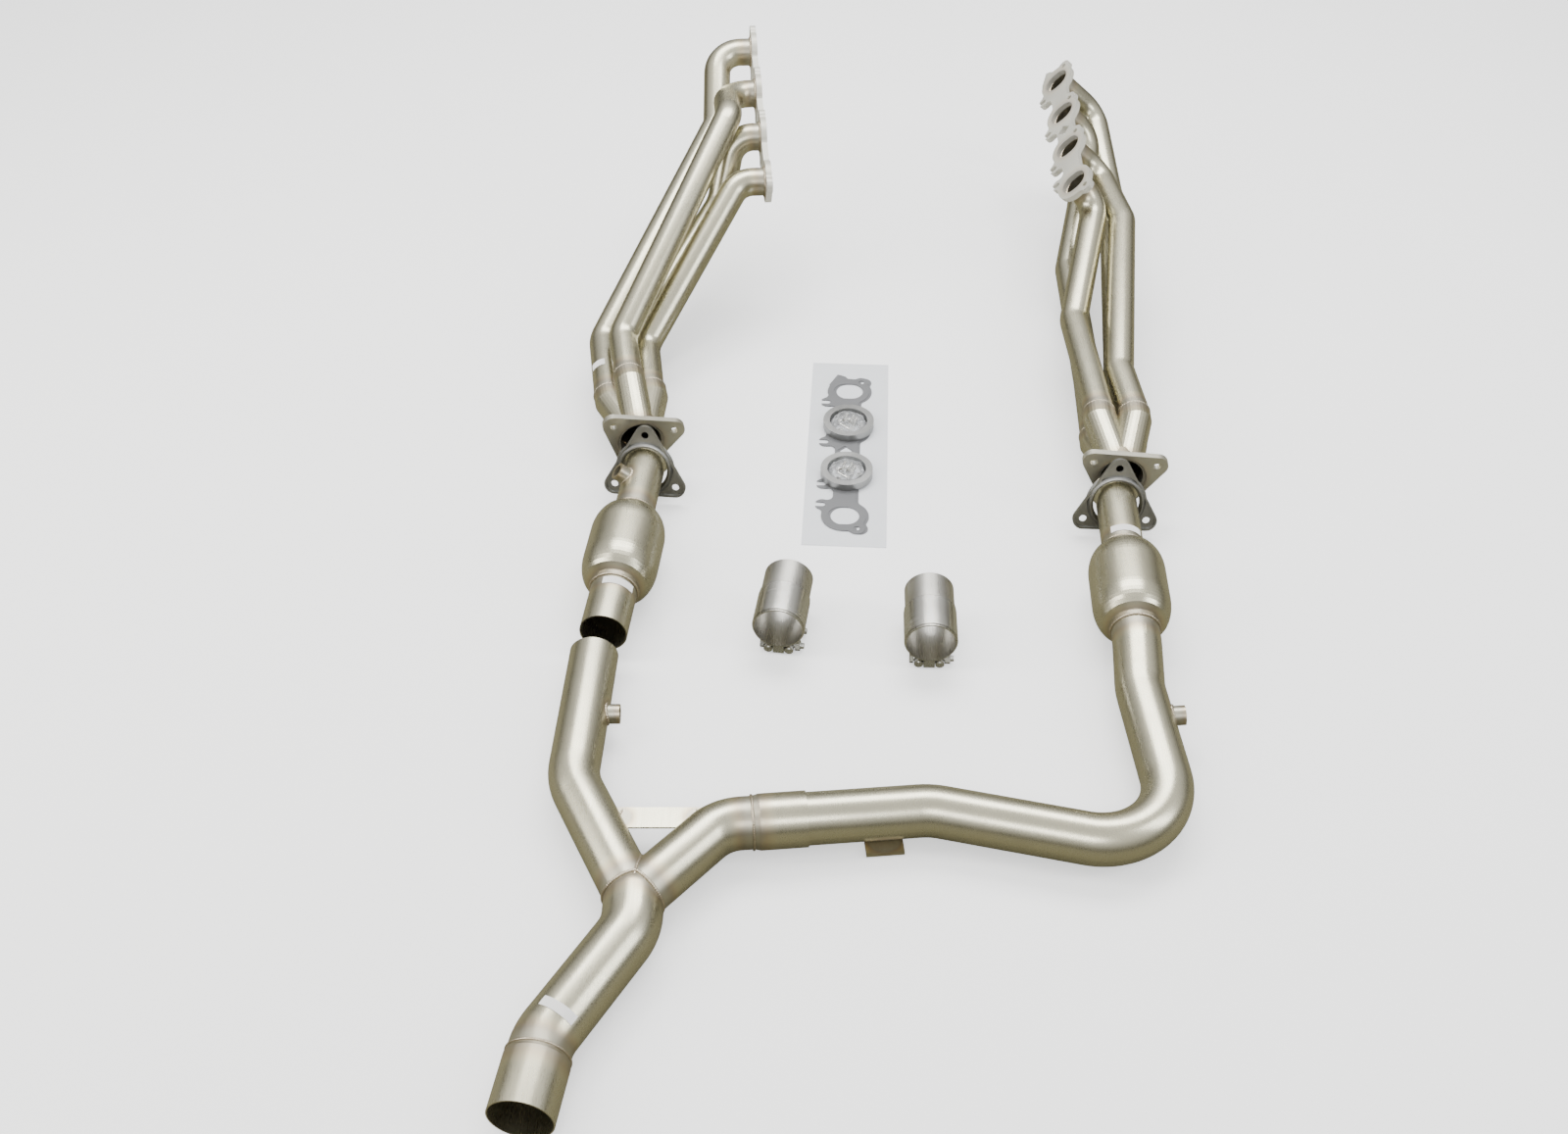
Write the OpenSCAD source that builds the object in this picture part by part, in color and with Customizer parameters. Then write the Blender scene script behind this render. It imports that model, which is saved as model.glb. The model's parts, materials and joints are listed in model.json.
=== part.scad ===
// Stainless V8 exhaust kit laid out in its assembly order: two four-port headers, two
// catalyst pipes, a Y-pipe with its slip-in crossover, two sleeve clamps and a gasket card.
// X runs across the car, Y points to its front, Z is up, and the floor is z = 0.

/* [Tubes] */
// Outside diameter of a header primary
primary_d = 44.45; // [38:0.05:45]
// Outside diameter of the catalyst inlet pipes
inlet_d = 57.15; // [50:0.05:62]
// Outside diameter of the Y legs and the crossover
leg_d = 63.5; // [54:0.1:66]
// Outside diameter of the S-bend behind the merge
stem_d = 69.85; // [66:0.05:76]
// Wall of every tube
wall = 1.65; // [1.2:0.05:2.5]
// Centreline radius of the big bends
bend_r = 88; // [70:1:100]
// Centreline radius of the primary bends
primary_r = 42; // [36:1:44]

/* [Heads] */
// Distance from port to port
port_pitch = 100; // [98:0.5:104]
// Port opening across the flange
port_w = 46; // [36:1:50]
// Port opening along the flange
port_l = 38; // [34:1:44]
// Thickness of the head flanges
head_t = 9.5; // [8:0.5:13]
// Bolt hole in the head flanges
head_hole = 9; // [7:0.5:11]

/* [Collectors] */
// Thickness of the three-bolt plates
plate_t = 9.5; // [8:0.5:12]
// Bolt circle of the three-bolt joints
bolt_circle = 104; // [98:1:120]
// Hole of the three-bolt joints
joint_hole = 10.5; // [8:0.5:12.5]
// Pressed sheet of the swivel flanges
sheet = 3; // [2:0.25:4]
// How far the loose flanges lean forward
lean = 18; // [0:1:20]

/* [Catalysts] */
// Diameter of a converter shell
cat_d = 104; // [92:1:125]
// Length of a converter shell
cat_len = 158; // [130:1:175]
// Thickness of the mat round the honeycomb
mat_t = 4; // [2:0.5:6]

/* [Slip joint and outlet] */
// Length of the expanded cuff on the right leg
cuff_len = 56; // [40:1:60]
// How far the crossover reaches into its cuff
slip_len = 48; // [30:1:52]
// Gap all round in the slip joint
slip_gap = 0.3; // [0.2:0.05:0.6]
// Length of the outlet cuff
outlet_len = 72; // [50:1:85]
// Step from the S-bend up to the outlet cuff
outlet_step = 1.8; // [1.6:0.1:3]

/* [Sleeve clamps] */
// Length of a coupling sleeve
sleeve_len = 100; // [85:1:125]
// Width of a clamp band
band_w = 52; // [40:1:55]
// Thickness of a clamp band
band_t = 1.5; // [1:0.1:2]

/* [Gasket card] */
// Width of the card
card_w = 122; // [115:1:150]
// Length of the card
card_l = 440; // [420:1:520]

/* [Hidden] */
$fn = 48;
over = 2;
seam = 0.02;
fit = 0.05;
steel = [0.66, 0.64, 0.56];
grey = [0.5, 0.5, 0.49];
bright = [0.8, 0.8, 0.8];
white = [0.95, 0.95, 0.95];
pipe_z = stem_d / 2 + outlet_step;
cat_z = cat_d / 2;

// ---- tubes ---------------------------------------------------------------------------------

// Unit vector along v
function unit(v) = v / norm(v);
// Turn from direction a to direction b, in degrees
function turn(a, b) = atan2(norm(cross(a, b)), a * b);
// Straight length that a bend of radius r and angle a takes from each side of its corner
function setback(r, a) = r * tan(a / 2);
// Tilt of direction d from upright, and its heading
function tilt(d) = atan2(norm([d.x, d.y]), d.z);
function heading(d) = atan2(d.y, d.x);

// Children stood on point a with their +Z along direction d. Along a level d, their X points
// down and their Y to the left of d
module along(a, d) {
    translate(a) rotate([0, tilt(d), heading(d)]) children();
}

// Cross-section of a tube
module section(d, b) {
    difference() {
        circle(d = d);
        circle(d = b);
    }
}

// A ring or a straight piece of tube on the plane z = 0
module ring(d, b, h) {
    linear_extrude(h) section(d, b);
}

// The tube of corners p from number i on, in a frame that starts there with axes x, y and z.
// spent is the length that the last bend took from this straight. Every piece keeps a hairline
// seam to the next one, as straights and bends that share a face leave no clean edge
module run(p, r, d, b, x, y, z, i = 0, spent = 0) {
    last = i == len(p) - 2;
    step = p[i + 1] - p[i];
    after = last ? step : p[i + 2] - p[i + 1];
    a = last ? 0 : turn(step, after);
    cut = setback(r, a);
    straight = norm(step) - spent - cut;
    ring(d, b, straight - (last ? 0 : seam));
    if (!last) {
        roll = atan2(unit(after) * y, unit(after) * x);
        out = cos(roll) * x + sin(roll) * y;
        translate([0, 0, straight]) rotate([0, 0, roll]) {
            translate([r, 0, 0]) rotate([90, 0, 180])
                rotate_extrude(angle = a - seam * 57 / r) translate([r, 0]) section(d, b);
            translate([r, 0, 0]) rotate([0, a, 0]) translate([-r, 0, 0])
                run(p, r, d, b, cos(a) * out - sin(a) * z, cos(roll) * y - sin(roll) * x,
                    cos(a) * z + sin(a) * out, i + 1, cut);
        }
    }
}

// A tube bent round its corners p at radius r
module tube(p, r, d, b) {
    z = unit(p[1] - p[0]);
    b1 = tilt(z);
    c = heading(z);
    along(p[0], z)
        run(p, r, d, b, [cos(c) * cos(b1), sin(c) * cos(b1), -sin(b1)], [-sin(c), cos(c), 0], z);
}

// ---- Y-pipe --------------------------------------------------------------------------------

leg_bore = leg_d - 2 * wall;
stem_bore = stem_d - 2 * wall;
merge = [-314, -688, pipe_z];
leg_top = [-391, -301, pipe_z];
leg_bend = [-400, -513, pipe_z];
slip_dir = [cos(5), sin(5), 0];
cuff_end = [-116, -572.6, pipe_z];
cuff_start = cuff_end - cuff_len * slip_dir;
right_bend = cuff_end - 102 * slip_dir;
swage_len = 8;
small_r = 60;
to_left = unit(leg_bend - merge);
to_right = unit(right_bend - merge);
// Distance from the merge to where the coped ends begin
cope = 82;
leg_down = unit(leg_bend - leg_top);
leg_port = 150;
stem_head = 17;
stem_r = 70;
stem_path = [merge + [0, -stem_head - seam, 0], merge + [0, -40, 0], [-398, -868, pipe_z],
    [-401, -888, pipe_z]];
outlet_at = stem_path[3];
outlet_dir = unit(stem_path[3] - stem_path[2]);
cuff_bore = leg_d + 2 * slip_gap;
cuff_d = cuff_bore + 2 * wall;
bung_d = 25;
bung_bore = 16.5;
bung_h = 14;
bung_at = 105;

// Straight tube of length h with a sensor hole facing side, at a distance from its start
module ported(a, d, h, od, bore, at, side) {
    difference() {
        along(a, d) ring(od, bore, h);
        along(a + at * d, side) cylinder(h = od, d = bung_bore);
    }
}

// Sensor boss welded over a tube's hole
module bung(a, side, od, d) {
    color(grey) difference() {
        along(a, side) translate([0, 0, od / 2 - 3]) ring(bung_d, bung_bore, bung_h + 3);
        along(a - 40 * d, d) cylinder(h = 80, d = od + 2 * fit);
    }
}

// Room that the head of the stem takes out of a leg's coped end
module stem_room() {
    translate(merge) sphere(d = stem_d + 2 * fit);
    along(merge, [0, -1, 0]) cylinder(h = stem_head + over, d = stem_d + 2 * fit);
}

// Half space on one side of the plane where the two legs meet, +1 toward the left leg
module mitre(side) {
    translate(merge) rotate([0, 0, heading(to_left + to_right)])
        translate([-cope, side > 0 ? -fit : fit - 3 * cope, -leg_d])
            cube([4 * cope, 3 * cope, 2 * leg_d]);
}

module y_left_leg() {
    color(steel) {
        ported(leg_top, leg_down, leg_port, leg_d, leg_bore, bung_at, [1, 0, 0]);
        tube([leg_top + (leg_port + seam) * leg_down, leg_bend, merge + cope * to_left],
            bend_r, leg_d, leg_bore);
        difference() {
            along(merge + 5 * to_left, to_left) ring(leg_d, leg_bore, cope - 5 - seam);
            stem_room();
            mitre(-1);
        }
    }
}

module y_right_leg() {
    color(steel) {
        along(cuff_start, slip_dir) ring(cuff_d, cuff_bore, cuff_len);
        along(cuff_start - swage_len * slip_dir, slip_dir) difference() {
            cylinder(h = swage_len - seam, d1 = leg_d, d2 = cuff_d);
            translate([0, 0, -over]) cylinder(h = swage_len + 2 * over, d = leg_bore);
        }
        tube([cuff_start - (swage_len + seam) * slip_dir, right_bend, merge + cope * to_right],
            small_r, leg_d, leg_bore);
        difference() {
            along(merge + 5 * to_right, to_right) ring(leg_d, leg_bore, cope - 5 - seam);
            stem_room();
            mitre(1);
        }
    }
}

module y_stem() {
    color(steel) {
        difference() {
            union() {
                translate(merge) sphere(d = stem_d);
                along(merge, [0, -1, 0]) cylinder(h = stem_head, d = stem_d);
            }
            translate(merge) sphere(d = stem_bore);
            along(merge, [0, -1, 0]) cylinder(h = stem_head + over, d = stem_bore);
            along(merge, to_left) cylinder(h = stem_d, d = leg_bore);
            along(merge, to_right) cylinder(h = stem_d, d = leg_bore);
        }
        tube(stem_path, stem_r, stem_d, stem_bore);
    }
}

outlet_d = stem_d + 2 * outlet_step;
// Short cone between the S-bend and the cuff
flute_len = 6;

module y_outlet_cuff() {
    color(steel) along(outlet_at, outlet_dir) {
        difference() {
            translate([0, 0, seam]) cylinder(h = flute_len - seam, d1 = stem_d, d2 = outlet_d);
            translate([0, 0, -over]) cylinder(h = flute_len + 2 * over, d = stem_bore);
        }
        translate([0, 0, flute_len + seam]) ring(outlet_d, outlet_d - 2 * wall, outlet_len - flute_len);
    }
}

brace_at = [-363, -588, pipe_z + 1];
brace = [130, 30, 2.5];

module y_brace() {
    color(steel) difference() {
        translate(brace_at) cube(brace);
        along(merge, to_left) cylinder(h = 250, d = leg_d + 2 * fit);
        along(merge, to_right) cylinder(h = 250, d = leg_d + 2 * fit);
    }
}

module y_bung() { bung(leg_top + bung_at * leg_down, [1, 0, 0], leg_d, leg_down); }

// ---- catalyst pipes ------------------------------------------------------------------------

cat_t = 1.5;
cat_end = 42;
neck_len = 8;
inlet_len = 116;
flare_len = 9;
flare_d = inlet_d + 11;
outlet_len_l = 80;
cat_at_l = [-364, -119, cat_z];
cat_dir_l = [sin(5.8), cos(5.8), 0];
cat_at_r = [322, -195, cat_z];
cat_dir_r = [sin(2.8), cos(2.8), 0];

// Height of the shell's outside over the tube at fraction t of a formed end
function swell(t) = sqrt(1 - (1 - t) * (1 - t));
// Outline of half a converter shell, from the neck of radius n to the middle
function shell_half(n, body, sign) = [for (k = [0:8])
    let (t = k / 8) [n + (body - n) * swell(t), sign * (cat_len / 2 - neck_len - t * cat_end)]];
function turned(list) = [for (k = [len(list) - 1:-1:0]) list[k]];

// A converter shell along its own Z, inlet end up
module cat_shell(out_d) {
    inn = inlet_d / 2 + fit;
    out = out_d / 2 + fit;
    body = cat_d / 2;
    outer = concat([[inn + cat_t, cat_len / 2]], shell_half(inn + cat_t, body, 1),
        turned(shell_half(out + cat_t, body, -1)), [[out + cat_t, -cat_len / 2]]);
    inner = concat([[inn, cat_len / 2]], shell_half(inn, body - cat_t, 1),
        turned(shell_half(out, body - cat_t, -1)), [[out, -cat_len / 2]]);
    color(steel) rotate_extrude() polygon(concat(outer, turned(inner)));
}

core_len = cat_len - 2 * neck_len - 2 * cat_end;
core_d = cat_d - 2 * cat_t - 2 * mat_t;
cell = 9;

module cat_mat() {
    color(white) translate([0, 0, -core_len / 2])
        ring(cat_d - 2 * cat_t - 2 * fit, core_d + 2 * fit, core_len);
}

// Honeycomb drawn with coarse cells
module cat_core() {
    n = floor(core_d / 2 / cell);
    color(grey) translate([0, 0, -core_len / 2]) linear_extrude(core_len) difference() {
        circle(d = core_d);
        for (i = [-n:n], j = [-n:n])
            if (norm([i, j]) * cell < core_d / 2 - cell)
                translate([i * cell, j * cell]) square(cell - 1, center = true);
    }
}

// Inlet pipe with its flared end up, from the neck of the shell
module inlet() {
    color(steel) translate([0, 0, cat_len / 2 - neck_len]) {
        ring(inlet_d, inlet_d - 2 * wall, inlet_len + neck_len - seam);
        translate([0, 0, inlet_len + neck_len]) difference() {
            cylinder(h = flare_len, d1 = inlet_d, d2 = flare_d);
            translate([0, 0, -0.01])
                cylinder(h = flare_len + 0.02, d1 = inlet_d - 2 * wall, d2 = flare_d - 2 * wall);
        }
    }
}

module inlet_l() {
    side = unit([-0.75, 0, 0.66]);
    difference() {
        along(cat_at_l, cat_dir_l) inlet();
        along(cat_at_l + (cat_len / 2 + 62) * cat_dir_l, side) cylinder(h = inlet_d, d = bung_bore);
    }
}

module inlet_bung_l() {
    bung(cat_at_l + (cat_len / 2 + 62) * cat_dir_l, unit([-0.75, 0, 0.66]), inlet_d, cat_dir_l);
}
module cat_shell_l() { along(cat_at_l, cat_dir_l) cat_shell(leg_d); }
module cat_mat_l() { along(cat_at_l, cat_dir_l) cat_mat(); }
module cat_core_l() { along(cat_at_l, cat_dir_l) cat_core(); }
module outlet_l() {
    color(steel) along(cat_at_l - (cat_len / 2 - neck_len) * cat_dir_l, -cat_dir_l)
        ring(leg_d, leg_bore, outlet_len_l + neck_len);
}
module inlet_r() { along(cat_at_r, cat_dir_r) inlet(); }
module cat_shell_r() { along(cat_at_r, cat_dir_r) cat_shell(leg_d); }
module cat_mat_r() { along(cat_at_r, cat_dir_r) cat_mat(); }
module cat_core_r() { along(cat_at_r, cat_dir_r) cat_core(); }

down_start = cat_at_r - (cat_len / 2 - neck_len) * cat_dir_r;
down_knee = [311, -368, pipe_z + 0.35 * (cat_z - pipe_z)];
big_bend = [328, -628, pipe_z];
cross_bend = cuff_end + 148.6 * slip_dir;
down_dir = unit(big_bend - down_knee);
down_port = 90;

module crossover() {
    color(steel) {
        tube([down_start, down_start - 30 * cat_dir_r, down_knee, down_knee + 18 * down_dir],
            bend_r, leg_d, leg_bore);
        ported(down_knee + (18 + seam) * down_dir, down_dir, down_port, leg_d, leg_bore, 30, [1, 0, 0.1]);
        tube([down_knee + (18 + down_port + 2 * seam) * down_dir, big_bend, cross_bend,
            cuff_end - slip_len * slip_dir], bend_r, leg_d, leg_bore);
    }
}

module bung_r() { bung(down_knee + (48 + seam) * down_dir, unit([1, 0, 0.1]), leg_d, down_dir); }

hanger_at = [-45, -603, 2];
hanger_size = [46, 26, 4.5];

module hanger() {
    color(steel) difference() {
        translate(hanger_at) rotate([0, 0, heading(slip_dir)]) cube(hanger_size);
        along(cuff_end, slip_dir) cylinder(h = 200, d = leg_d + 2 * fit);
    }
}

// Three-lobed outline of the collector joints, one lobe along +Y
module three_lobes(corner_r) {
    hull() for (a = [90, 210, 330])
        rotate([0, 0, a]) translate([bolt_circle / 2, 0]) circle(r = corner_r);
}

swivel_hole = inlet_d + 8;
swivel_at = cat_len / 2 + inlet_len - 13;
lip_h = 6;
collar_h = 9;

// Pressed loose flange, its lip and collar toward -Z
module swivel() {
    color(grey) {
        difference() {
            mirror([0, 0, 1]) {
                linear_extrude(sheet) three_lobes(15);
                linear_extrude(lip_h) difference() {
                    three_lobes(15);
                    three_lobes(15 - sheet);
                }
                cylinder(h = collar_h, d1 = swivel_hole + 22, d2 = swivel_hole + 10);
            }
            for (a = [90, 210, 330])
                rotate([0, 0, a]) translate([bolt_circle / 2, 0, -2 * lip_h])
                    cylinder(h = 4 * lip_h, d = joint_hole);
            translate([0, 0, -2 * lip_h]) cylinder(h = 4 * lip_h, d = swivel_hole);
            translate([0, 0, -collar_h - 0.01])
                cylinder(h = collar_h - sheet, d2 = swivel_hole, d1 = swivel_hole + 7);
        }
    }
}

// How far the leaning flange drops before the top of its hole rests on the pipe
hang = (swivel_hole / 2 - slip_gap - sheet * tan(lean)) * cos(lean) - inlet_d / 2;

module swivel_on(at, dir) {
    translate(at + swivel_at * dir - [0, 0, hang]) rotate([0, 0, heading(dir) - 90])
        rotate([90 - lean, 0, 0]) mirror([0, 0, 1]) swivel();
}
module swivel_l() { swivel_on(cat_at_l, cat_dir_l); }
module swivel_r() { swivel_on(cat_at_r, cat_dir_r); }

// ---- headers -------------------------------------------------------------------------------

neck_d = leg_d;
primary_bore = primary_d - 2 * wall;
socket = 22;
collector_l_len = 92;
roll_l = 13;
roll_r = 3;
plate_r_corner = 16;
// A plate stands on its lowest lobe
function plate_z(roll) = bolt_circle / 2 * cos(roll) + plate_r_corner;
// Plate centre and collector direction toward the tubes
plate_at_l = [-355, 111, plate_z(roll_l)];
coll_dir_l = unit([-0.2, 0.98, 0]);
plate_at_r = [342.5, 28, plate_z(roll_r)];
coll_dir_r = unit([0.054, 0.9985, 0]);
tube_gap = 0.3;
// Half the distance between touching primaries in a square
half = (primary_d + tube_gap) / 2;
ends_l = plate_at_l + (collector_l_len + socket) * coll_dir_l;
ends_r = plate_at_r + (collector_l_len + socket) * coll_dir_r;

// Places of the four tubes round the collector axis, as [across, up]
spread = 3.4;
diamond = half * sqrt(2) * [[-1, 0], [0, 1], [0, -1], [1, 0]];
square4 = [for (q = [[-1, -1], [1, -1], [1, 1], [-1, 1]]) [q.x * (half + spread), q.y * half]];
function side_of(d) = [d.y, -d.x, 0];
// A point h along the collector from a, at place s
function placed(a, d, s, h = 0) = a + s.x * side_of(d) + [0, 0, s.y] + h * d;

function ports(middle, line) = [for (k = [-1.5:1:1.5]) middle - k * port_pitch * line];
line_l = unit([-26, 288, 84]);
line_r = unit([4, 299, 28]);
face_l = unit(cross(line_l, [0.03, 0, 1]));
face_r = unit(cross([0.668, 0, 0.744], line_r));
mid_l = [-178, 727, 263];
mid_r = [335, 769, 214];
ports_l = ports(mid_l, line_l);
ports_r = ports(mid_r, line_r);

// Corners of the primaries between their port and their place in the collector
routes_l = [
    [ports_l[0] - 66 * face_l, [-257, 752, 233], [-429, 356, 70], placed(ends_l, coll_dir_l, diamond[0], 12)],
    [ports_l[1] - 58 * face_l, [-233, 670, 292], [-393, 316, 106], placed(ends_l, coll_dir_l, diamond[1], 12)],
    [ports_l[2] - 54 * face_l, [-249, 624, 158], [-396, 368, 37], placed(ends_l, coll_dir_l, diamond[2], 12)],
    [ports_l[3] - 52 * face_l, [-361, 340, 70], placed(ends_l, coll_dir_l, diamond[3], 12)]];
routes_r = [
    [ports_r[0] - 100 * face_r, [427, 724, 88], [375, 254, 42], placed(ends_r, coll_dir_r, square4[1], 12)],
    [ports_r[1] - 70 * face_r, [367, 708, 98], [335, 574, 60], placed(ends_r, coll_dir_r, square4[0], 140)],
    [ports_r[2] - 78 * face_r, [414, 584, 149], [368, 246, 93], placed(ends_r, coll_dir_r, square4[2], 12)],
    [ports_r[3] - 57 * face_r, [314, 372, 97], placed(ends_r, coll_dir_r, square4[3], 12)]];

module primary(port, face, route, end) {
    color(steel) tube(concat([port - head_t * face], route, [end]), primary_r, primary_d, primary_bore);
}

places_r = [square4[1], square4[0], square4[2], square4[3]];
module primary_l(k) {
    primary(ports_l[k], face_l, routes_l[k], placed(ends_l, coll_dir_l, diamond[k], -socket / 2));
}
module primary_r(k) {
    primary(ports_r[k], face_r, routes_r[k], placed(ends_r, coll_dir_r, places_r[k], -socket / 2));
}
module primary_l1() { primary_l(0); }
module primary_l2() { primary_l(1); }
module primary_l3() { primary_l(2); }
module primary_l4() { primary_l(3); }
module primary_r1() { primary_r(0); }
module primary_r2() { primary_r(1); }
module primary_r3() { primary_r(2); }
module primary_r4() { primary_r(3); }

// One lobe of a collector, from its tube place s down to the neck
module lobe(s, wide, neck) {
    hull() {
        translate([-s.y, -s.x, collector_l_len]) cylinder(h = socket, d = wide, $fn = 32);
        translate([-s.y * 0.25, -s.x * 0.25, 10]) cylinder(h = 12, d = neck, $fn = 32);
    }
}

// Formed cloverleaf collector, standing on its plate
module collector(places) {
    color(steel) difference() {
        union() {
            for (s = places) lobe(s, primary_d + 3.4, neck_d - 16);
            cylinder(h = 24, d = neck_d, $fn = 64);
        }
        for (s = places) {
            lobe(s, primary_d - 2, neck_d - 19);
            translate([-s.y, -s.x, collector_l_len + socket / 2 - 0.2])
                cylinder(h = socket, d = primary_d + 2 * fit, $fn = 64);
        }
        translate([0, 0, -over]) cylinder(h = 24, d = neck_d - 2 * wall, $fn = 64);
    }
}
module collector_l() { along(plate_at_l, coll_dir_l) collector(diamond); }
module collector_r() { along(plate_at_r, coll_dir_r) collector(square4); }

// Three-bolt plate behind a collector, its rear face at -plate_t
module plate(roll) {
    color(grey) rotate([0, 0, roll - 90]) difference() {
        translate([0, 0, -plate_t]) linear_extrude(plate_t - fit) three_lobes(plate_r_corner);
        for (a = [90, 210, 330])
            rotate([0, 0, a]) translate([bolt_circle / 2, 0, -2 * plate_t])
                cylinder(h = 3 * plate_t, d = joint_hole);
        translate([0, 0, -2 * plate_t]) cylinder(h = 3 * plate_t, d = neck_d - 2 * wall);
        translate([0, 0, -plate_t - 0.01]) cylinder(h = 4, d1 = neck_d + 6, d2 = neck_d - 1);
    }
}
module plate_l() { along(plate_at_l, coll_dir_l) plate(roll_l); }
module plate_r() { along(plate_at_r, coll_dir_r) plate(roll_r); }

// Bolt holes of a head flange: port number, distance along the ports, distance across
bolts = [[0, 24, 20], [1, 24, 20], [2, 24, 20], [3, -27, 20]];
slots = [[0, -29, -32], [1, -29, -32], [2, -29, -32], [3, 24, -32]];
function port_x(k) = (1.5 - k) * port_pitch;

// Outline of a head flange or its gasket, ports along X, front end at +X
module head_outline() {
    offset(r = -9) offset(r = 9) {
        for (k = [0:3]) translate([port_x(k), 0]) circle(r = 33);
        for (b = bolts) translate([port_x(b.x) + b.y, b.z]) circle(r = 12);
        for (s = slots) translate([port_x(s.x) + s.y, s.z]) circle(r = 11);
        square([3 * port_pitch, 34], center = true);
        translate([port_x(0) + 28, -20]) rotate([0, 0, 25]) square([30, 10], center = true);
    }
}

// The openings of a head flange, as one profile
module head_openings() {
    for (k = [0:3]) translate([port_x(k), 0]) hull() for (e = [-1, 1])
        translate([0, e * (port_w - port_l) / 2]) circle(d = port_l);
    for (b = bolts) translate([port_x(b.x) + b.y, b.z]) circle(d = head_hole);
    for (s = slots) translate([port_x(s.x) + s.y, s.z]) {
        circle(d = head_hole);
        translate([-head_hole / 2, -20]) square([head_hole, 20]);
    }
    translate([0, -2]) rotate([0, 0, 45]) square(17, center = true);
}

module head_plate(t) {
    difference() {
        linear_extrude(t) head_outline();
        translate([0, 0, -over]) linear_extrude(t + 2 * over) head_openings();
    }
}

// A plate stood with its X along the ports and its top face on the middle point
module stood(mid, line, face) {
    b = tilt(face);
    c = heading(face);
    fx = [cos(c) * cos(b), sin(c) * cos(b), -sin(b)];
    fy = [-sin(c), cos(c), 0];
    translate(mid) rotate([0, b, c]) rotate([0, 0, atan2(line * fy, line * fx)]) children();
}

module head_flange_l() {
    color(grey) stood(mid_l, line_l, face_l)
        translate([0, 0, -head_t + fit]) head_plate(head_t - fit);
}
module head_flange_r() {
    color(grey) stood(mid_r, line_r, face_r) mirror([0, 1, 0])
        translate([0, 0, -head_t + fit]) head_plate(head_t - fit);
}

// ---- sleeve clamps -------------------------------------------------------------------------

sleeve_d = leg_d + 2 * wall + 0.6;
bar_d = 9;
loop_t = 1.5;
bar_x = 14;
bar_drop = sleeve_d / 2 + 9;
bolt_d = 8;
hex_d = 15;
clamp_z = bar_drop + hex_d / 2 + fit;
bolt_place = 14;
clamp_1 = [-151, -268, clamp_z];
clamp_dir_1 = [sin(8.5), cos(8.5), 0];
clamp_2 = [49, -295, clamp_z];
clamp_dir_2 = [sin(2), cos(2), 0];

// Stands a clamp on its mouth, with X across, Y up and -Z along the sleeve
module clamped(a, d) {
    translate(a) rotate([90, 0, heading(d) - 90]) children();
}

// Place and length of the rib behind the clamp's seat
rib_at = 0.56 * sleeve_len;
rib_len = 4;

module sleeve() {
    color(grey) mirror([0, 0, 1]) {
        ring(sleeve_d, sleeve_d - 2 * wall, rib_at);
        translate([0, 0, rib_at + seam]) ring(sleeve_d + 2, sleeve_d - 2 * wall, rib_len);
        translate([0, 0, rib_at + rib_len + 2 * seam])
            ring(sleeve_d - 1, sleeve_d - 2 * wall, sleeve_len - rib_at - rib_len);
    }
}

band_bore = sleeve_d + 2 * fit;
band_in = 3;
// Flat band with its two ends folded round the bars
module band() {
    color(grey) translate([0, 0, -band_in - band_w]) {
        difference() {
            ring(band_bore + 2 * band_t, band_bore, band_w);
            translate([-bar_x + 1, -sleeve_d, -over]) cube([2 * bar_x - 2, sleeve_d, band_w + 2 * over]);
        }
        for (e = [-1, 1]) translate([e * bar_x, -bar_drop, 0]) difference() {
            hull() {
                cylinder(h = band_w, d = bar_d + 2 * loop_t);
                translate([-e * 2 + e * 2.6, 6, 0]) cylinder(h = band_w, d = 4);
            }
            translate([0, 0, -over]) cylinder(h = band_w + 2 * over, d = bar_d + 2 * fit);
            for (z = [-1, 1]) translate([-20, 0, band_w / 2 + z * bolt_place]) rotate([0, 90, 0])
                cylinder(h = 40, d = bolt_d + 1);
        }
    }
}

module bars() {
    color(bright) for (e = [-1, 1]) translate([e * bar_x, -bar_drop, -band_in - band_w - 1])
        difference() {
            cylinder(h = band_w + 2, d = bar_d);
            for (z = [-1, 1]) translate([-20, 0, band_w / 2 + 1 + z * bolt_place]) rotate([0, 90, 0])
                cylinder(h = 40, d = bolt_d + 2 * fit);
        }
}

// Reaction block between the two bars
module block() {
    w = 2 * bar_x - bar_d - 2 * loop_t - 1;
    color(bright) translate([0, -bar_drop, -band_in - band_w - 1]) difference() {
        translate([-w / 2, -5, 0]) cube([w, 12, band_w + 2]);
        for (z = [-1, 1]) translate([-20, 0, band_w / 2 + 1 + z * bolt_place]) rotate([0, 90, 0])
            cylinder(h = 40, d = bolt_d + 1);
    }
}

grip = bar_x + bar_d / 2 + loop_t + 1;
module bolts_pair() {
    color(bright) for (z = [-1, 1])
        translate([-grip, -bar_drop, -band_in - band_w / 2 + z * bolt_place]) rotate([0, 90, 0]) {
            cylinder(h = 2 * grip + 12, d = bolt_d);
            translate([0, 0, -5]) cylinder(h = 5 + seam, d = hex_d, $fn = 6);
        }
}

module clamp_nut(z) {
    color(bright) translate([grip + fit, -bar_drop, -band_in - band_w / 2 + z * bolt_place])
        rotate([0, 90, 0]) difference() {
            cylinder(h = 7, d = hex_d, $fn = 6);
            translate([0, 0, -over]) cylinder(h = 7 + 2 * over, d = bolt_d + 2 * fit);
        }
}

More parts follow.
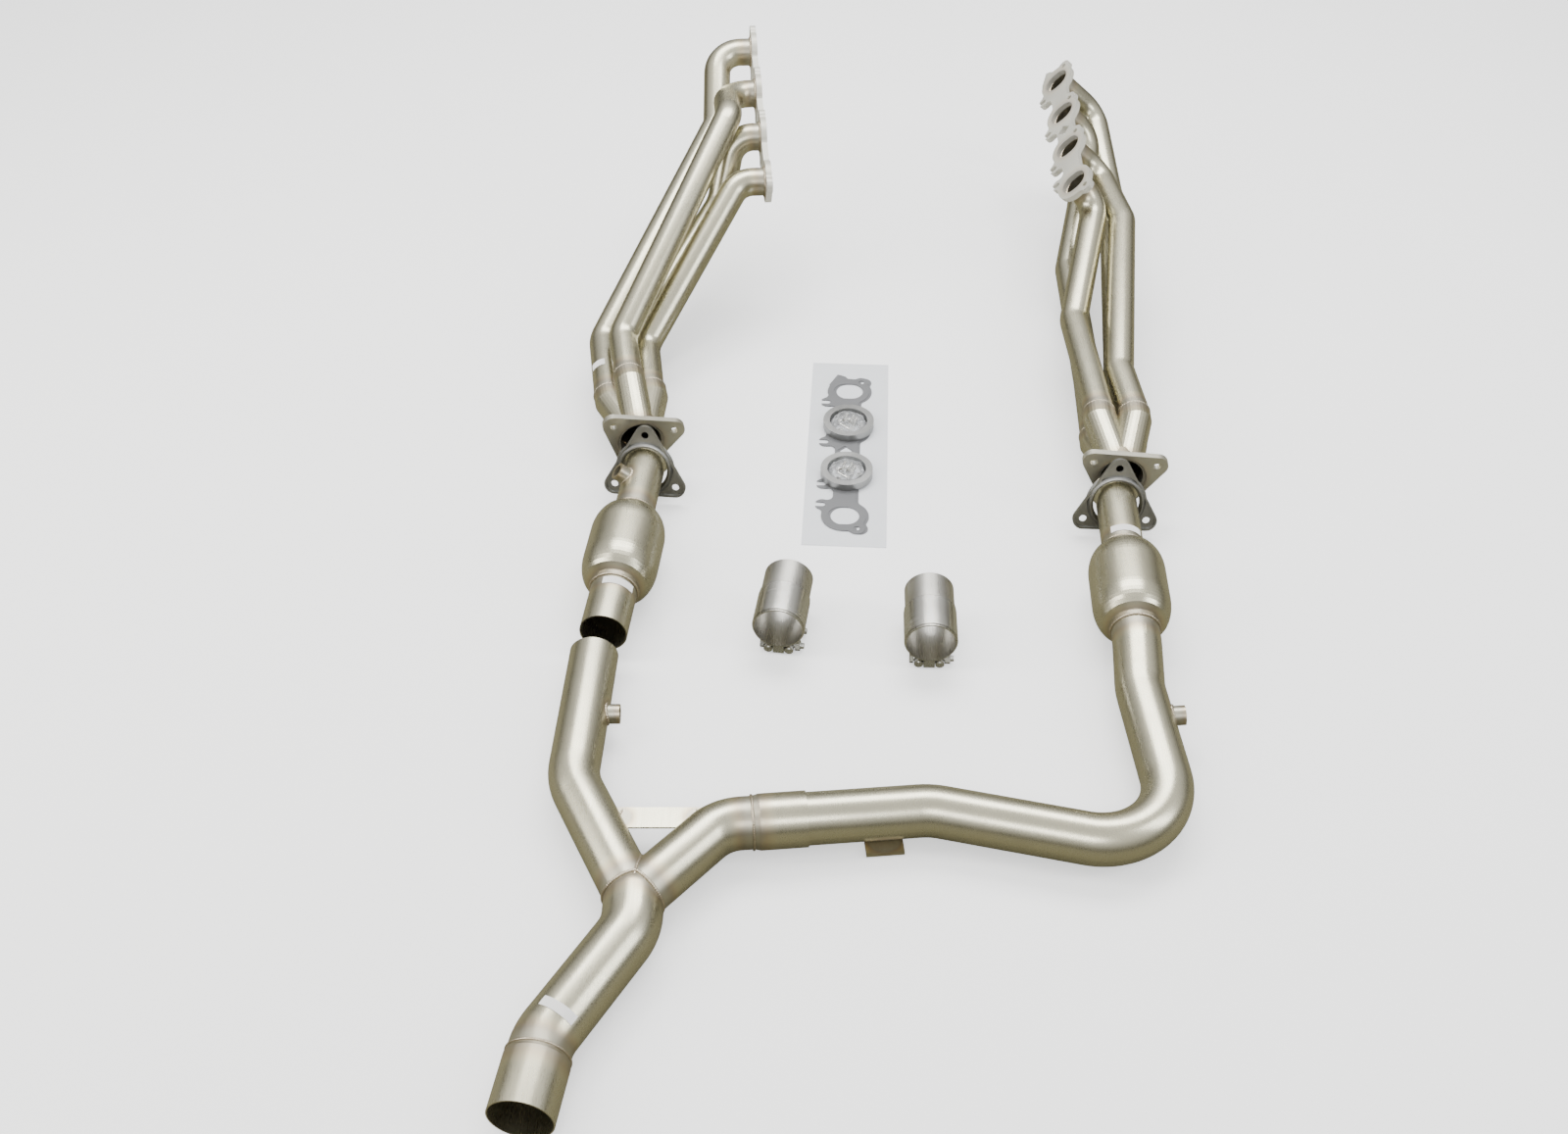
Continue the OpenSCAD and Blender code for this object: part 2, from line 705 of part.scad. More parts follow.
module sleeve_1() { clamped(clamp_1, clamp_dir_1) sleeve(); }
module band_1() { clamped(clamp_1, clamp_dir_1) band(); }
module block_1() { clamped(clamp_1, clamp_dir_1) block(); }
module bars_1() { clamped(clamp_1, clamp_dir_1) bars(); }
module bolts_1() { clamped(clamp_1, clamp_dir_1) bolts_pair(); }
module nut_1a() { clamped(clamp_1, clamp_dir_1) clamp_nut(-1); }
module nut_1b() { clamped(clamp_1, clamp_dir_1) clamp_nut(1); }
module sleeve_2() { clamped(clamp_2, clamp_dir_2) sleeve(); }
module band_2() { clamped(clamp_2, clamp_dir_2) band(); }
module block_2() { clamped(clamp_2, clamp_dir_2) block(); }
module bars_2() { clamped(clamp_2, clamp_dir_2) bars(); }
module bolts_2() { clamped(clamp_2, clamp_dir_2) bolts_pair(); }
module nut_2a() { clamped(clamp_2, clamp_dir_2) clamp_nut(-1); }
module nut_2b() { clamped(clamp_2, clamp_dir_2) clamp_nut(1); }

// ---- gasket card ---------------------------------------------------------------------------

card_t = 1;
gasket_t = 0.8;
ring_t = 12;
card_at = [-46, 168, 0];
card_turn = -3;
ring_y = [55, -62];
layer = 0.1;

module on_card(z) {
    translate(card_at + [0, 0, z]) rotate([0, 0, card_turn]) children();
}

module card() {
    color(white) on_card(0) translate([-card_w / 2, -card_l / 2, 0]) cube([card_w, card_l, card_t]);
}
module head_gasket_a() {
    color(grey) on_card(card_t + layer) translate([2, -6, 0]) rotate([0, 0, 90]) mirror([0, 1, 0])
        head_plate(gasket_t);
}
module head_gasket_b() {
    color(grey) on_card(card_t + gasket_t + 2 * layer) translate([-2, -6, 0]) rotate([0, 0, 90])
        mirror([0, 1, 0]) head_plate(gasket_t);
}

rings_z = card_t + 2 * gasket_t + 3 * layer;
ring_bore = 58;
ring_d = 78;
module ring_gasket(y) {
    color(grey) on_card(rings_z) translate([0, y, 0]) ring(ring_d, ring_bore, ring_t);
}
module ring_gasket_a() { ring_gasket(ring_y[0]); }
module ring_gasket_b() { ring_gasket(ring_y[1]); }

bag_d = 56;
bag_h = 22;
film = 0.4;
// Clear bag lying in its ring as a low dome with a flat floor
function dome(r, h) = [for (k = [0:8])
    let (a = k * 90 / 8) [r * cos(a) < 0.5 ? 0 : r * cos(a), h * sin(a)]];
module bag(y) {
    color([0.8, 0.85, 0.9, 0.4]) on_card(rings_z) translate([0, y, 0]) rotate_extrude() difference() {
        polygon(concat([[0, 0]], dome(bag_d / 2, bag_h)));
        translate([0, film]) polygon(concat([[0, 0]], dome(bag_d / 2 - film, bag_h - 2 * film)));
    }
}
module bag_a() { bag(ring_y[0]); }
module bag_b() { bag(ring_y[1]); }

screw_d = 5;
screw_hex = 8.6;
screw_head = 3.5;
screw_len = 19;
// A small screw lying on a flat of its head, from x = 0 on
module screw(z) {
    translate([0, 0, z + screw_hex / 2]) rotate([0, 90, 0]) {
        cylinder(h = screw_len, d = screw_d);
        translate([0, 0, -screw_head]) cylinder(h = screw_head + seam, d = screw_hex, $fn = 6);
    }
}

// Screws and nuts lying in a bag, three screws and three nuts below and two screws above them
module fasteners(y) {
    color(bright) on_card(rings_z + film + layer) translate([0, y, 0]) {
        for (k = [0:2]) rotate([0, 0, k * 120 + 20]) {
            translate([-11, 9, 0]) screw(0);
            translate([0, 19.2, 0]) difference() {
                cylinder(h = 4, d = screw_hex, $fn = 6);
                translate([0, 0, -over]) cylinder(h = 4 + 2 * over, d = screw_d);
            }
        }
        for (side = [-1, 1])
            rotate([0, 0, 75]) translate([-8, 5 * side, 0]) screw(screw_hex + 0.2);
    }
}
module fasteners_a() { fasteners(ring_y[0]); }
module fasteners_b() { fasteners(ring_y[1]); }

y_left_leg();
y_right_leg();
y_stem();
y_outlet_cuff();
y_brace();
y_bung();
inlet_l();
cat_shell_l();
cat_mat_l();
cat_core_l();
outlet_l();
inlet_bung_l();
swivel_l();
inlet_r();
cat_shell_r();
cat_mat_r();
cat_core_r();
crossover();
hanger();
bung_r();
swivel_r();
head_flange_l();
primary_l1();
primary_l2();
primary_l3();
primary_l4();
collector_l();
plate_l();
head_flange_r();
primary_r1();
primary_r2();
primary_r3();
primary_r4();
collector_r();
plate_r();
sleeve_1();
band_1();
block_1();
bars_1();
bolts_1();
nut_1a();
nut_1b();
sleeve_2();
band_2();
block_2();
bars_2();
bolts_2();
nut_2a();
nut_2b();
card();
head_gasket_a();
head_gasket_b();
ring_gasket_a();
ring_gasket_b();
bag_a();
bag_b();
fasteners_a();
fasteners_b();
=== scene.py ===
# %% [markdown]
# A stainless V8 exhaust kit, laid out in the order in which it bolts together. The tubes, flanges,
# clamps and gaskets come from the CAD frame. This file gives them their finishes and adds what a
# machined solid does not show: weld beads, heat tint, blank labels, film bags and threads.

# %% Load the frame
import json
import bpy
from math import cos, pi, radians, sin, sqrt, tan
from mathutils import Matrix, Vector, noise


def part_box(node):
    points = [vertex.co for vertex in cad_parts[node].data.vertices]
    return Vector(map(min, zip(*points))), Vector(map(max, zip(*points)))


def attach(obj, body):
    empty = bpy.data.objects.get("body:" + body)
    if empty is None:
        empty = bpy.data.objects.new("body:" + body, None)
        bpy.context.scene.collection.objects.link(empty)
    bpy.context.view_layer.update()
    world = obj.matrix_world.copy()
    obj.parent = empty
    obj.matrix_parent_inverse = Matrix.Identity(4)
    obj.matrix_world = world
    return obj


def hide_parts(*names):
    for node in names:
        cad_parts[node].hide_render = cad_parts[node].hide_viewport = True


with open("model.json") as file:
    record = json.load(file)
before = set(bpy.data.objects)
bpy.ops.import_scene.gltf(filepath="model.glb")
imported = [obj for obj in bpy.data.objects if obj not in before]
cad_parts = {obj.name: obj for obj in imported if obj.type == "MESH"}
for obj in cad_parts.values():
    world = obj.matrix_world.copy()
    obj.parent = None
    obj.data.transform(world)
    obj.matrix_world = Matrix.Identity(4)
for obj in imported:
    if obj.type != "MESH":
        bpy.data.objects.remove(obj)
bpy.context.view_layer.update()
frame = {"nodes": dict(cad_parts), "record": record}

nodes = frame["nodes"]
record = frame["record"]
mounts = {m["name"]: m for m in record["mounts"]}
joints = {j["name"]: j for j in record["behaviour"]["joints"]}
body_of = {n: b for b, names in record["behaviour"]["bodies"].items() for n in names}

# %% [markdown]
# Tube ends are perpendicular to a known direction. The furthest vertices along that direction
# therefore form the end ring, and their mean is its centre. Measuring the ring on the mesh keeps
# every weld on its tube, whatever the tube's size.

# %% Measure tube ends
def end_ring(node, direction):
    """Centre and outer radius of a tube's flat end on the side of direction."""
    direction = direction.normalized()
    points = [v.co.copy() for v in nodes[node].data.vertices]
    far = max(p.dot(direction) for p in points)
    ring = [p for p in points if p.dot(direction) > far - 0.0004]
    low = Vector([min(p[k] for p in ring) for k in range(3)])
    high = Vector([max(p[k] for p in ring) for k in range(3)])
    centre = (low + high) / 2
    return centre, max((p - centre).length for p in ring)


def mount_at(name):
    """Position and axis of a mount."""
    return Vector(mounts[name]["pos_m"]), Vector(mounts[name]["axis"]).normalized()


def axis_of(name):
    return Vector(joints[name]["axis"]).normalized()


cat_axis = {"l": axis_of("left_pipe_pull"), "r": Vector((sin(radians(2.8)), cos(radians(2.8)), 0))}
slip_axis = axis_of("crossover_slip")
merge = Vector((-0.314, -0.688, 0.036725))
print("right slip axis", [round(v, 3) for v in slip_axis])

# %% [markdown]
# A hand-laid weld is a row of overlapping puddles, like stacked coins. A torus gives the row its
# path. Its tube is then swelled and slid once for each puddle, so that the coins are real
# geometry and still catch the light when the camera comes close.

# %% Weld beads
def clean_selection():
    if bpy.context.object and bpy.context.object.mode != "OBJECT":
        bpy.ops.object.mode_set(mode="OBJECT")
    bpy.ops.object.select_all(action="DESELECT")


def settle(piece):
    """Applies a piece's place, so that its object sits at the origin unturned."""
    clean_selection()
    piece.select_set(True)
    bpy.context.view_layer.objects.active = piece
    bpy.ops.object.transform_apply(location=True, rotation=True, scale=True)
    return piece


def added(name):
    piece = bpy.context.object
    piece.name = name
    piece.data.name = name
    return piece


heat = {}
WELD_PITCH = 0.0028


def ripple(turn):
    """How full a coin is at a share of its pitch: a quick rise and a slow fall."""
    share = turn % 1.0
    return 0.72 + 0.28 * sin(pi * share ** 0.6)


def bead(name, centre, direction, radius, size, body, hot=(), keep=None):
    """A ring of weld puddles round direction, and the heat that it leaves in the nodes of hot."""
    coins = max(8, round(2 * pi * radius / WELD_PITCH))
    clean_selection()
    bpy.ops.mesh.primitive_torus_add(major_radius=radius, minor_radius=size,
                                     major_segments=coins * 4, minor_segments=8)
    piece = added(name)
    for vertex in piece.data.vertices:
        flat = Vector((vertex.co.x, vertex.co.y, 0))
        turn = (flat.angle(Vector((1, 0, 0))) if flat.y >= 0 else 2 * pi - flat.angle(Vector((1, 0, 0))))
        middle = flat.normalized() * radius
        wander = noise.noise(middle * 90) * size * 0.25
        full = ripple(turn / (2 * pi) * coins)
        vertex.co = middle + (vertex.co - middle) * full + Vector((0, 0, wander))
    piece.matrix_world = Matrix.Translation(centre) @ direction.to_track_quat("Z", "Y").to_matrix().to_4x4()
    settle(piece)
    if keep:
        trimmed(piece, *keep)
    bpy.ops.object.shade_smooth()
    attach(piece, body)
    beads.append(piece)
    for node in hot:
        heat.setdefault(node, []).append((centre, radius))
    return piece


def trimmed(piece, point, normal):
    """Cuts away what lies on the normal's side of a plane through point."""
    clean_selection()
    bpy.context.view_layer.objects.active = piece
    piece.select_set(True)
    bpy.ops.object.mode_set(mode="EDIT")
    bpy.ops.mesh.select_all(action="SELECT")
    bpy.ops.mesh.bisect(plane_co=point, plane_no=normal, clear_outer=True, use_fill=True)
    bpy.ops.object.mode_set(mode="OBJECT")


beads = []
HEAD_T = 0.0095
face = {s: mount_at("head_bolt_%s1" % s)[1] for s in "lr"}
collar = {s: -mount_at("collector_bolts_" + s)[1] for s in "lr"}
for side in "lr":
    plate_mid = mount_at("collector_bolts_" + side)[0]
    for k in range(1, 5):
        tube = "primary_%s%d" % (side, k)
        at_head, tube_r = end_ring(tube, face[side])
        bead("weld_head_%s%d" % (side, k), at_head - face[side] * 0.0008, face[side], tube_r + 0.0004, 0.0021,
             "header_" + side, (tube, "head_flange_" + side))
        at_socket, tube_r = end_ring(tube, -collar[side])
        mouth = at_socket + collar[side] * 0.0118
        bead("weld_socket_%s%d" % (side, k), mouth, collar[side], tube_r + 0.0006, 0.0017,
             "header_" + side, (tube, "collector_" + side))
    bead("weld_plate_" + side, plate_mid + collar[side] * 0.0056, collar[side], 0.0322, 0.0019,
         "header_" + side, ("collector_" + side, "plate_" + side))
print(len(beads), "header welds")

# %% [markdown]
# The pipes have welds of their own: round the necks of both converters, round each sensor boss,
# behind the cuff of the slip joint and before the outlet cuff. A boss on a tube meets it in a
# saddle, so its bead follows the tube's roundness and not a flat ring.

# %% Welds of the pipes
CAT_LEN = 0.158
for side, body in (("l", "left_pipe"), ("r", "right_pipe")):
    low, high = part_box("cat_shell_" + side)
    middle = (Vector(low) + Vector(high)) / 2
    d = cat_axis[side]
    pipe_r = end_ring("inlet_" + side, -d)[1]
    below = "outlet_l" if side == "l" else "crossover"
    bead("weld_cat_front_" + side, middle + d * CAT_LEN / 2, d, pipe_r + 0.0008, 0.0019, body,
         ("inlet_" + side, "cat_shell_" + side))
    bead("weld_cat_rear_" + side, middle - d * CAT_LEN / 2, d, 0.0326, 0.0019, body, (below, "cat_shell_" + side))


def saddle_bead(name, mount, tube_r, along, body, hot):
    """Weld round a sensor boss, lowered onto the round tube under it."""
    at, axis = mount_at(mount)
    base = at - axis * 0.007
    piece = bead(name, base, axis, 0.0131, 0.0019, body, hot)
    side = axis.cross(along).normalized()
    for vertex in piece.data.vertices:
        across = (vertex.co - base).dot(side)
        vertex.co -= axis * (tube_r - sqrt(max(0, tube_r ** 2 - across ** 2)))
    return piece


LEG_R = 0.03175
leg_axis = Vector((0.0424, 0.9991, 0))
saddle_bead("weld_sensor_y", "sensor_y", LEG_R, leg_axis, "y_pipe", ("y_left_leg", "y_bung"))
saddle_bead("weld_sensor_l", "sensor_l", 0.02858, cat_axis["l"], "left_pipe", ("inlet_l", "inlet_bung_l"))
saddle_bead("weld_sensor_r", "sensor_r", LEG_R, Vector((0.065, -0.998, 0)), "right_pipe", ("crossover", "bung_r"))

cuff_mouth = end_ring("y_right_leg", slip_axis)[0]
cuff_root = cuff_mouth - slip_axis * 0.0645
bead("weld_cuff", cuff_root, slip_axis, LEG_R + 0.0004, 0.0017, "y_pipe", ("y_right_leg",))
outlet_mid, outlet_axis = mount_at("outlet")
outlet_root = end_ring("y_outlet_cuff", -outlet_axis)[0]
bead("weld_outlet", outlet_root, outlet_axis, 0.0352, 0.0018, "y_pipe", ("y_outlet_cuff", "y_stem"))
print(len(beads), "welds so far")

# %% [markdown]
# At the merge the two legs are coped and meet in a plane, and both end against the stem. The seam
# between the legs is half an ellipse over the crotch, and the seam to the stem is a ring round
# each leg. A ring that lies in the mitre plane is a circle stretched along the crotch, so one
# torus with its place scaled gives it, and a cut removes what would be buried in the stem.

# %% Welds of the merge
left_dir = (Vector((-0.400, -0.513, merge.z)) - merge).normalized()
right_dir = (cuff_mouth - slip_axis * 0.102 - merge).normalized()
crotch = (left_dir + right_dir).normalized()
half_open = left_dir.angle(right_dir) / 2
STEM_R = 0.034925


def mitre_bead():
    """The seam between the legs: an ellipse in the plane of the crotch, as ripples on a torus."""
    piece = bead("weld_crotch", Vector((0, 0, 0)), Vector((0, 0, 1)), LEG_R, 0.0022, "y_pipe", ())
    stretch = 1 / sin(half_open)
    upright = Vector((0, 0, 1))
    across = crotch.cross(upright)
    for vertex in piece.data.vertices:
        flat = Vector((vertex.co.x, vertex.co.y, 0))
        ring = flat.normalized() * LEG_R
        fat = vertex.co - ring
        out = crotch * ring.x * stretch + upright * ring.y
        bulge = (crotch * ring.x + upright * ring.y).normalized() * fat.dot(flat.normalized())
        vertex.co = merge + out + bulge + across * fat.z
    trimmed(piece, merge + crotch * 0.012, -crotch)
    return piece


mitre_bead()
for name, d, leg in (("left", left_dir, "y_left_leg"), ("right", right_dir, "y_right_leg")):
    reach = sqrt(STEM_R ** 2 - LEG_R ** 2)
    inner = d.cross(Vector((0, 0, 1))).normalized()
    inner = inner if inner.dot(crotch - d * crotch.dot(d)) > 0 else -inner
    bead("weld_merge_" + name, merge + d * (reach + 0.0012), d, LEG_R + 0.0005, 0.002, "y_pipe", (leg, "y_stem"),
         keep=(merge + inner * (reach * tan(half_open) + 0.001), inner))
print("legs open by", round(2 * half_open * 57.3, 1), "degrees")

# %% [markdown]
# Flat pieces that lie against a tube, the brace between the legs and the hanger under the
# crossover, are held by short straight runs of weld. One run is a ring that has been opened and
# straightened: its coins lie along a line. It is made from a cylinder along the run, sliced across
# many times and swelled with the same ripple, with its ends rounded.

# %% Straight welds
def straight_bead(name, start, end, size, body, hot):
    """A run of weld from start to end, with rounded ends."""
    run = end - start
    coins = max(3, round(run.length / WELD_PITCH))
    clean_selection()
    bpy.ops.mesh.primitive_cylinder_add(vertices=10, radius=size, depth=run.length)
    piece = added(name)
    bpy.ops.object.mode_set(mode="EDIT")
    bpy.ops.mesh.select_all(action="SELECT")
    for k in range(1, coins * 3):
        bpy.ops.mesh.select_all(action="SELECT")
        bpy.ops.mesh.bisect(plane_co=(0, 0, run.length * (k / (coins * 3) - 0.5)), plane_no=(0, 0, 1))
    bpy.ops.object.mode_set(mode="OBJECT")
    for vertex in piece.data.vertices:
        share = vertex.co.z / run.length + 0.5
        round_end = sqrt(max(0.05, min(1, share * coins, (1 - share) * coins)))
        full = ripple(share * coins) * round_end
        vertex.co.x *= full
        vertex.co.y *= full
    piece.matrix_world = Matrix.Translation((start + end) / 2) @ run.to_track_quat("Z", "Y").to_matrix().to_4x4()
    settle(piece)
    bpy.ops.object.shade_smooth()
    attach(piece, body)
    beads.append(piece)
    for node in hot:
        heat.setdefault(node, []).append(((start + end) / 2, run.length / 2))
    return piece


low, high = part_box("y_brace")
top = high[2] + 0.0002
for k, end_x in enumerate((low[0] + 0.0035, high[0] - 0.0045)):
    lean = 0.004 * (1 - 2 * k)
    straight_bead("weld_brace_%d" % k, Vector((end_x - lean, low[1] + 0.003, top)),
                  Vector((end_x + lean, high[1] - 0.003, top)), 0.0016, "y_pipe", ("y_brace",))
low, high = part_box("hanger")
straight_bead("weld_hanger", Vector((low[0] + 0.004, high[1] - 0.0055, high[2] + 0.0008)),
              Vector((high[0] - 0.004, high[1] - 0.0015, high[2] + 0.0008)), 0.0017, "right_pipe", ("hanger", "crossover"))
print(len(beads), "welds in all")

# %% [markdown]
# Four blank paper labels are stuck round the tubes. A label is a patch of a cylinder a hair wider
# than its tube. An open cylinder is bisected down to the patch, and Solidify gives it the
# thickness of paper.

# %% Labels
PAPER = 0.00035


def label(name, centre, along, facing, tube_r, length, width, body):
    """A sticker of a length along the tube and a width round it, with its middle at facing."""
    along = along.normalized()
    facing = (facing - along * facing.dot(along)).normalized()
    clean_selection()
    bpy.ops.mesh.primitive_cylinder_add(vertices=144, radius=tube_r + PAPER, depth=length, end_fill_type="NOTHING")
    piece = added(name)
    half = width / tube_r / 2
    bpy.ops.object.mode_set(mode="EDIT")
    for sign in (-1, 1):
        turn = sign * half
        bpy.ops.mesh.select_all(action="SELECT")
        bpy.ops.mesh.bisect(plane_co=(tube_r * cos(turn), tube_r * sin(turn), 0),
                            plane_no=(-sign * sin(turn), sign * cos(turn), 0), clear_outer=True)
    for k in range(1, 12):
        bpy.ops.mesh.select_all(action="SELECT")
        bpy.ops.mesh.bisect(plane_co=(0, 0, length * (k / 12 - 0.5)), plane_no=(0, 0, 1))
    bpy.ops.object.mode_set(mode="OBJECT")
    place = Matrix((facing, along.cross(facing), along)).transposed().to_4x4()
    piece.matrix_world = Matrix.Translation(centre) @ place
    settle(piece)
    wall = piece.modifiers.new("paper", "SOLIDIFY")
    wall.thickness = PAPER * 0.8
    wall.offset = 1
    bpy.ops.object.modifier_apply(modifier="paper")
    bpy.ops.object.shade_smooth_by_angle(angle=radians(35))
    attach(piece, body)
    labels.append(piece)


labels = []
up = Vector((0, 0, 1))
toward = Vector((0.05, -0.55, 0.83))
primary_r = end_ring("primary_l4", -collar["l"])[1]
shell_mid = {s: (Vector(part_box("cat_shell_" + s)[0]) + Vector(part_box("cat_shell_" + s)[1])) / 2 for s in "lr"}
label("label_outlet_l", shell_mid["l"] - cat_axis["l"] * 0.0905, cat_axis["l"], Vector((0.28, -0.4, 0.83)),
      LEG_R, 0.012, 0.045, "left_pipe")
label("label_inlet_r", shell_mid["r"] + cat_axis["r"] * 0.0945, cat_axis["r"], toward, 0.028575, 0.012, 0.045,
      "right_pipe")
bend_axis = Vector((-0.5145, -0.8575, 0)).normalized()
label("label_stem", Vector((-0.3855, -0.8472, merge.z)), bend_axis, Vector((0.2, 0, 0.98)), STEM_R, 0.012, 0.045,
      "y_pipe")
outer_axis = Vector((-0.138, 0.990, 0.0258)).normalized()
label("label_primary", Vector((-0.4112, 0.2282, 0.0667)) + outer_axis * 0.045, outer_axis, Vector((-0.5, -0.3, 0.8)),
      primary_r, 0.014, 0.024, "header_l")
print(len(labels), "labels")

# %% [markdown]
# The bolts of the clamps stick out past their nuts, and a real thread shows there. A thread seen
# at this size is a stack of fine ridges. One ridge is a thin torus round the bolt, copied along
# it, each copy a pitch further out.

# %% Threads on the clamp bolts
THREAD_PITCH = 0.00125
BOLT_R = 0.004


def thread(name, start, axis, length, body):
    """Ridges round a bolt's end, joined into one piece."""
    ridges = []
    for k in range(int(length / THREAD_PITCH)):
        clean_selection()
        bpy.ops.mesh.primitive_torus_add(major_radius=BOLT_R, minor_radius=0.00036,
                                         major_segments=28, minor_segments=5)
        ridge = added("ridge")
        ridge.matrix_world = (Matrix.Translation(start + axis * THREAD_PITCH * (k + 0.5))
                              @ axis.to_track_quat("Z", "Y").to_matrix().to_4x4())
        ridges.append(settle(ridge))
    clean_selection()
    for ridge in ridges:
        ridge.select_set(True)
    bpy.context.view_layer.objects.active = ridges[0]
    bpy.ops.object.join()
    piece = added(name)
    bpy.ops.object.shade_smooth()
    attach(piece, body)
    threads.append(piece)


threads = []
NUT_H = 0.007
for clamp in "12":
    for place in "ab":
        spin = joints["nut_%s%s_spin" % (clamp, place)]
        axis = Vector(spin["axis"]).normalized()
        thread("thread_%s%s" % (clamp, place), Vector(spin["pos_m"]) + axis * (NUT_H / 2 + 0.0002), axis, 0.0046,
               "clamp_" + clamp)
print(len(threads), "threads")

# %% [markdown]
# The fasteners come in small film bags that lie crumpled inside the ring gaskets. Film this thin
# keeps sharp creases, so a flattened sphere is pushed about by noise that has folded edges: each
# noise folded about zero gives ridges where a smooth noise would give hills, in two sizes.

# %% Film bags
def crumple(point, amount):
    """Height of creased film at a point: ridges of two sizes."""
    coarse = abs(noise.noise(point * 70)) * 0.6
    fine = abs(noise.noise(point * 190 + Vector((3, 1, 7)))) * 0.25
    return (coarse + fine) * amount


def film_bag(name, node, body):
    low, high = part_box(node)
    low, high = Vector(low), Vector(high)
    middle = Vector(((low.x + high.x) / 2, (low.y + high.y) / 2, low.z + 0.0004))
    clean_selection()
    bpy.ops.mesh.primitive_ico_sphere_add(subdivisions=6, radius=1)
    piece = added(name)
    for vertex in piece.data.vertices:
        n = vertex.co.copy()
        edge = 1 - 0.10 * abs(noise.noise(n * 2.3))
        flat = Vector((n.x * (high.x - low.x) / 2 * edge, n.y * (high.y - low.y) / 2 * edge, 0))
        rise = max(0, n.z) ** 0.7 * (high.z - low.z) * 0.78
        spot = middle + flat + up * rise
        lift = crumple(spot, 0.0075) * (1 if n.z > 0 else 0.0)
        spot.z = min(spot.z + lift - 0.002 * (1 if n.z > 0.1 else 0), high.z)
        spot.z = max(spot.z, low.z + 0.0003)
        vertex.co = spot
    bpy.ops.object.shade_smooth_by_angle(angle=radians(28))
    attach(piece, body)
    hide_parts(node)
    bags.append(piece)


bags = []
for key in "ab":
    film_bag("film_bag_" + key, "bag_" + key, "bag_" + key)
print(len(bags), "bags of", [len(b.data.polygons) for b in bags], "faces")

# %% [markdown]
# Every finish below is procedural and reads Object coordinates, so it stays on its piece from any
# side. Shader maths is easier to read as a sum than as a web of nodes: a small class wraps a
# socket, and each operator on it adds one Math node. All other nodes come from one method.

# %% A socket that can be calculated with
class Value:
    """A shader socket. Arithmetic on it adds Math nodes to its finish."""

    def __init__(self, finish, socket):
        self.finish = finish
        self.socket = socket

    def maths(self, operation, first, second=0.0, clamp=False):
        return self.finish.node("ShaderNodeMath", {"operation": operation, "use_clamp": clamp}, {0: first, 1: second})

    def __add__(self, other):
        return self.maths("ADD", self, other)

    def __radd__(self, other):
        return self.maths("ADD", other, self)

    def __sub__(self, other):
        return self.maths("SUBTRACT", self, other)

    def __rsub__(self, other):
        return self.maths("SUBTRACT", other, self)

    def __mul__(self, other):
        return self.maths("MULTIPLY", self, other)

    def __rmul__(self, other):
        return self.maths("MULTIPLY", other, self)

    def __truediv__(self, other):
        return self.maths("DIVIDE", self, other)

    def __pow__(self, other):
        return self.maths("POWER", self, other)

    def clamped(self):
        return self.maths("ADD", self, 0.0, clamp=True)

    def most(self, other):
        return self.maths("MAXIMUM", self, other)


class Finish:
    """One material: its nodes, and the Principled shader that they feed."""

    def __init__(self, name, **settings):
        self.material = bpy.data.materials.new(name)
        self.material.use_nodes = True
        self.tree = self.material.node_tree
        self.shader = self.tree.nodes["Principled BSDF"]
        for socket, value in settings.items():
            self.set(socket.replace("_", " "), value)
        self.place = self.node("ShaderNodeTexCoord", out="Object")

    def node(self, kind, settings=None, inputs=None, out=0):
        made = self.tree.nodes.new(kind)
        for key, value in (settings or {}).items():
            if key == "stops":
                self.fill_ramp(made.color_ramp, value)
            else:
                setattr(made, key, value)
        for key, value in (inputs or {}).items():
            self.join(value, made.inputs[key])
        return Value(self, made.outputs[out])

    def join(self, value, socket):
        if isinstance(value, Value):
            self.tree.links.new(value.socket, socket)
        else:
            socket.default_value = value

    def fill_ramp(self, ramp, stops):
        while len(ramp.elements) < len(stops):
            ramp.elements.new(0.5)
        for element, (at, colour) in zip(ramp.elements, stops):
            element.position = at
            element.color = (*colour, 1)

    def set(self, socket, value):
        names = {s.name.lower(): s for s in self.shader.inputs}
        self.join(value, names[socket.lower()])

    def noise(self, scale, stretch=(1, 1, 1), detail=3.0, turn=0.0):
        """Noise of a scale in waves a metre, stretched along an axis turned about Z."""
        spot = self.node("ShaderNodeMapping", {"vector_type": "POINT"},
                         {"Vector": self.place, "Rotation": (0, 0, turn), "Scale": stretch})
        return self.node("ShaderNodeTexNoise", {}, {"Vector": spot, "Scale": scale, "Detail": detail}, "Fac")

    def mixed(self, share, first, second):
        """Colour that goes from first to second as share goes from 0 to 1."""
        return self.node("ShaderNodeMix", {"data_type": "RGBA"}, {0: share, 6: first, 7: second}, 2)

    def bump(self, height, distance, strength=1.0):
        self.set("normal", self.node("ShaderNodeBump", {}, {"Height": height, "Distance": distance,
                                                             "Strength": strength}, "Normal"))


def rgba(red, green, blue):
    return (red, green, blue, 1)


print("shader helper ready")

# %% [markdown]
# Stainless tube is brushed by its maker with a belt, so fine scratches run along it. The metal is
# a warm grey with slow changes of tone. Close to each weld the heat has left an oxide film whose
# colour goes from straw through bronze to a dull blue-brown at the bead. The distance to each
# weld's centre gives the film its place, because the tubes' own radius is known.

# %% Tube steel
HEAT_REACH = 0.013
film_stops = [(0.0, (0.66, 0.60, 0.44)), (0.35, (0.62, 0.52, 0.33)), (0.65, (0.46, 0.35, 0.23)),
              (0.85, (0.32, 0.26, 0.22)), (1.0, (0.36, 0.34, 0.30))]


